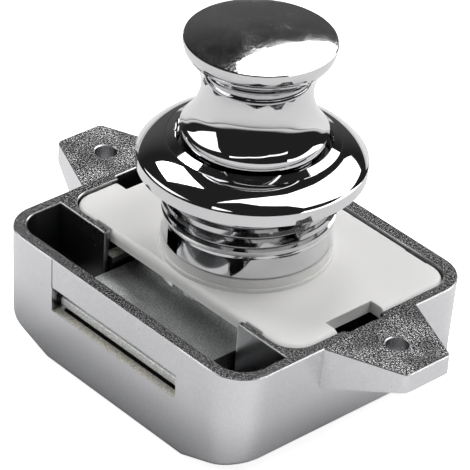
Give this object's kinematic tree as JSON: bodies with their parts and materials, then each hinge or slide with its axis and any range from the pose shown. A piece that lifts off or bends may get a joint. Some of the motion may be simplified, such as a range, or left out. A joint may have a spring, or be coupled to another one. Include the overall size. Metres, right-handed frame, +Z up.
{
  "type": "push button cabinet lock",
  "caption": "Rectangular push-push cabinet lock: cast tray with screw ears, threaded barrel, rosette, waisted knob and a flat bolt that the knob drives out of the front.",
  "frame": {"origin": "where the barrel axis meets the open rim of the tray, the face that lies against the door", "axes": "+Z up the barrel towards the knob, -Y the way the bolt leaves, X along the two screw ears"},
  "size_m": [0.078, 0.047, 0.0556],
  "materials": {
    "cast_chrome": "satin, lightly cast",
    "bright_chrome": "mirror polished",
    "white_plastic": "smooth moulded",
    "grey_plastic": "moulded",
    "zinc_plate": "zinc plated, satin",
    "steel": "plain",
    "spring_steel": "drawn"
  },
  "bodies": {
    "case": {"housing": "cast_chrome", "cover_plate": "white_plastic", "barrel": "bright_chrome", "barrel_nut": "zinc_plate", "return_spring": "spring_steel", "wire_leaf": "spring_steel", "leaf_screw": "steel"},
    "rosette_ring": {"rosette": "bright_chrome"},
    "button": {"knob": "bright_chrome", "plunger": "grey_plastic", "knob_stud": "steel", "knob_washer": "spring_steel"},
    "slide": {"carriage": "zinc_plate"},
    "bolt_group": {"bolt": "zinc_plate", "guide_pins": "steel", "pin_clips": "spring_steel", "bolt_spring_left": "spring_steel", "bolt_spring_right": "spring_steel"},
    "wire": {"latch_wire": "spring_steel"}
  },
  "joints": [
    {"name": "button_push", "type": "slide", "parent": "case", "child": "button", "axis": [0, 0, -1], "range_m": [0, 0.012], "stiffness_N_per_m": 300, "springref_m": -0.008, "deforming": ["return_spring"]},
    {"name": "carriage_slide", "type": "slide", "parent": "case", "child": "slide", "axis": [0, -1, 0], "range_m": [0, 0.007]},
    {"name": "bolt_retract", "type": "slide", "parent": "slide", "child": "bolt_group", "axis": [0, 1, 0], "range_m": [0, 0.0054], "stiffness_N_per_m": 150, "springref_m": -0.006, "deforming": ["bolt_spring_left", "bolt_spring_right"]},
    {"name": "rosette_turn", "type": "hinge", "parent": "case", "child": "rosette_ring", "pos_m": [0, 0, 0.01605], "axis": [0, 0, 1], "continuous": true},
    {"name": "wire_swing", "type": "hinge", "parent": "case", "child": "wire", "pos_m": [0.0071, 0.0034, -0.0156], "axis": [1, 0, 0], "range_deg": [0, 11.4]}
  ],
  "couplings": [
    {"joint": "carriage_slide", "follows": "button_push", "ratio": 0.58333},
    {"joint": "wire_swing", "follows": "button_push", "rad_per_m": 16.4}
  ]
}
